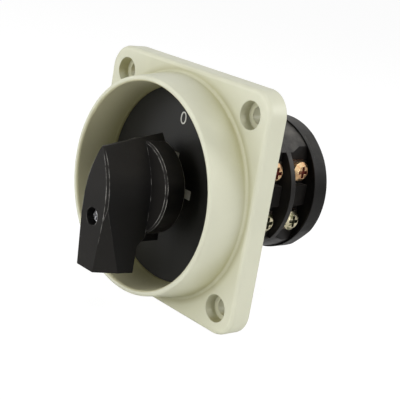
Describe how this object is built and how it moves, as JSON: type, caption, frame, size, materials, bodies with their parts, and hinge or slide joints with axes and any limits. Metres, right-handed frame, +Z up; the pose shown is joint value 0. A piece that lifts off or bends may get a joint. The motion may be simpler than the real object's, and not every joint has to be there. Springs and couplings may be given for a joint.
{
  "type": "voltmeter selector switch",
  "caption": "Panel rotary selector switch: square plate with a round collar, sunken dial, pistol handle, and stacked contact decks with screw terminals behind.",
  "frame": {"origin": "on the shaft's axis, in the rear face of the front plate, where the plate meets the panel", "axes": "-Y out of the panel towards the hand, +Y back along the shaft through the contact decks, +Z up towards the dial's first position, +X to the right seen from the front"},
  "size_m": [0.064, 0.0651, 0.064],
  "materials": {
    "ivory_plastic": "moulded, satin",
    "handle_plastic": "moulded, fine grain",
    "dial_black": "smooth, slightly glossy",
    "hub_plastic": "moulded",
    "bakelite": "moulded thermoset",
    "nylon": "natural nylon",
    "zinc_steel": "zinc plated",
    "copper_strip": "rolled copper alloy",
    "brass_screws": "yellow passivated"
  },
  "bodies": {
    "switch_body": {"front_plate": "ivory_plastic", "dial_plate": "dial_black", "housing_screws": "zinc_steel", "index_housing": "bakelite", "bearing_plate": "bakelite", "contact_deck_1": "bakelite", "contact_deck_2": "bakelite", "end_plate": "bakelite", "tie_bolts": "zinc_steel", "tie_nuts": "zinc_steel", "fixed_contacts_1": "copper_strip", "fixed_contacts_2": "copper_strip", "clamp_plates_1": "brass_screws", "clamp_plates_2": "brass_screws", "terminal_screws_1": "brass_screws", "terminal_screws_2": "brass_screws"},
    "rotor": {"handle": "handle_plastic", "handle_screw": "zinc_steel", "handle_hub": "hub_plastic", "hub_screw": "zinc_steel", "shaft": "zinc_steel", "shaft_clip": "zinc_steel", "index_wheel": "nylon", "stop_ring": "nylon", "cam_1": "nylon", "cam_2": "nylon"},
    "index_right": {"index_plunger_right": "nylon", "index_ball_right": "zinc_steel", "index_spring_right": "zinc_steel"},
    "index_left": {"index_plunger_left": "nylon", "index_ball_left": "zinc_steel", "index_spring_left": "zinc_steel"},
    "contact_1_right": {"contact_slider_1_right": "nylon", "contact_bridge_1_right": "copper_strip", "contact_spring_1_right": "zinc_steel"},
    "contact_1_left": {"contact_slider_1_left": "nylon", "contact_bridge_1_left": "copper_strip", "contact_spring_1_left": "zinc_steel"},
    "contact_2_right": {"contact_slider_2_right": "nylon", "contact_bridge_2_right": "copper_strip", "contact_spring_2_right": "zinc_steel"},
    "contact_2_left": {"contact_slider_2_left": "nylon", "contact_bridge_2_left": "copper_strip", "contact_spring_2_left": "zinc_steel"}
  },
  "joints": [
    {"name": "handle_turn", "type": "hinge", "parent": "switch_body", "child": "rotor", "pos_m": [0, 0, 0], "axis": [0, 1, 0], "range_deg": [-90, 90]},
    {"name": "index_right_press", "type": "slide", "parent": "switch_body", "child": "index_right", "axis": [-1, 0, 0], "range_m": [0, 0.0012], "stiffness_N_per_m": 300},
    {"name": "index_left_press", "type": "slide", "parent": "switch_body", "child": "index_left", "axis": [1, 0, 0], "range_m": [0, 0.0012], "stiffness_N_per_m": 300},
    {"name": "contact_1_right_press", "type": "slide", "parent": "switch_body", "child": "contact_1_right", "axis": [-1, 0, 0], "range_m": [0, 0.001], "stiffness_N_per_m": 300},
    {"name": "contact_1_left_press", "type": "slide", "parent": "switch_body", "child": "contact_1_left", "axis": [1, 0, 0], "range_m": [0, 0.001], "stiffness_N_per_m": 300},
    {"name": "contact_2_right_press", "type": "slide", "parent": "switch_body", "child": "contact_2_right", "axis": [-1, 0, 0], "range_m": [0, 0.001], "stiffness_N_per_m": 300},
    {"name": "contact_2_left_press", "type": "slide", "parent": "switch_body", "child": "contact_2_left", "axis": [1, 0, 0], "range_m": [0, 0.001], "stiffness_N_per_m": 300}
  ]
}
